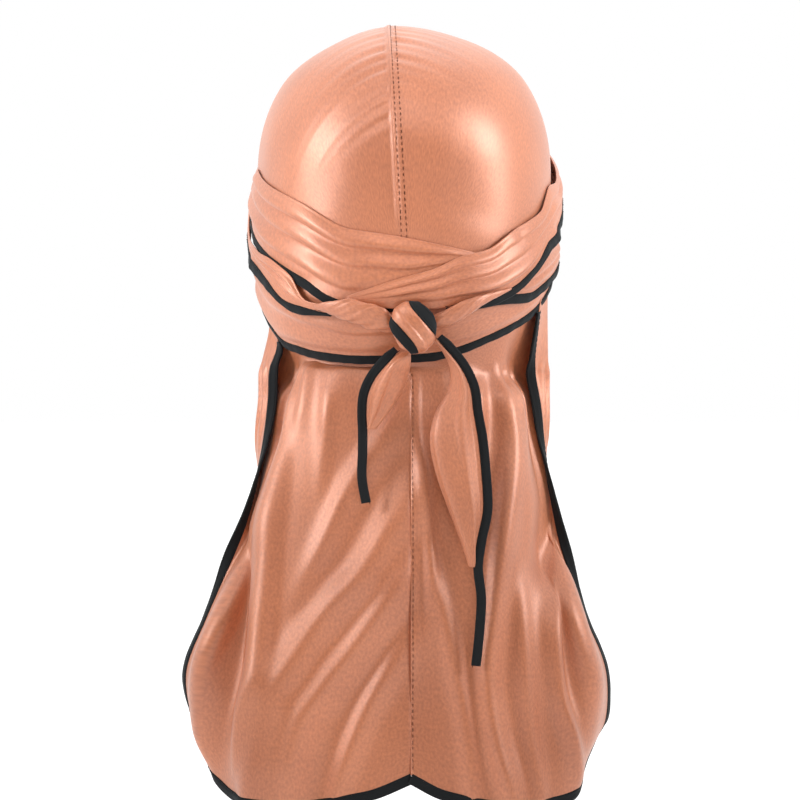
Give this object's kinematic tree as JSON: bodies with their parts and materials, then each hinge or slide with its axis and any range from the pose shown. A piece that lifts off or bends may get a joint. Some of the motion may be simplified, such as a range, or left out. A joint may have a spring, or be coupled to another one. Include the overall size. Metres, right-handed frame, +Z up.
{
  "type": "durag",
  "caption": "Satin durag tied on a head: seamed crown, crossed wraps with black binding, a knot at the nape with loose ends, and a wide cape falling behind.",
  "frame": {"origin": "where the top of the wearer's head bears on the inside of the crown", "axes": "+Z up as worn, wearer faces -Y, wearer's left is +X"},
  "size_m": [0.2227, 0.2133, 0.41],
  "materials": {
    "satin": "smooth satin with a soft broad sheen, slightly see-through where it is a single layer",
    "binding": "matte black woven bias tape, folded over the raw edge"
  },
  "bodies": {
    "root": {"crown_left": "satin", "crown_right": "satin", "cape_left": "satin", "cape_binding_left": "binding", "cape_right": "satin", "cape_binding_right": "binding", "nape_wrap": "satin", "nape_wrap_binding": "binding", "wrap_under": "satin", "wrap_under_binding": "binding", "wrap_over": "satin", "wrap_over_binding": "binding", "knot_core": "satin", "knot_band": "satin", "knot_binding_upper": "binding", "knot_binding_lower": "binding", "strand_left": "satin", "loose_end_left": "satin", "loose_end_binding_left": "binding", "strand_right": "satin", "loose_end_right": "satin", "loose_end_binding_right": "binding"}
  },
  "joints": []
}
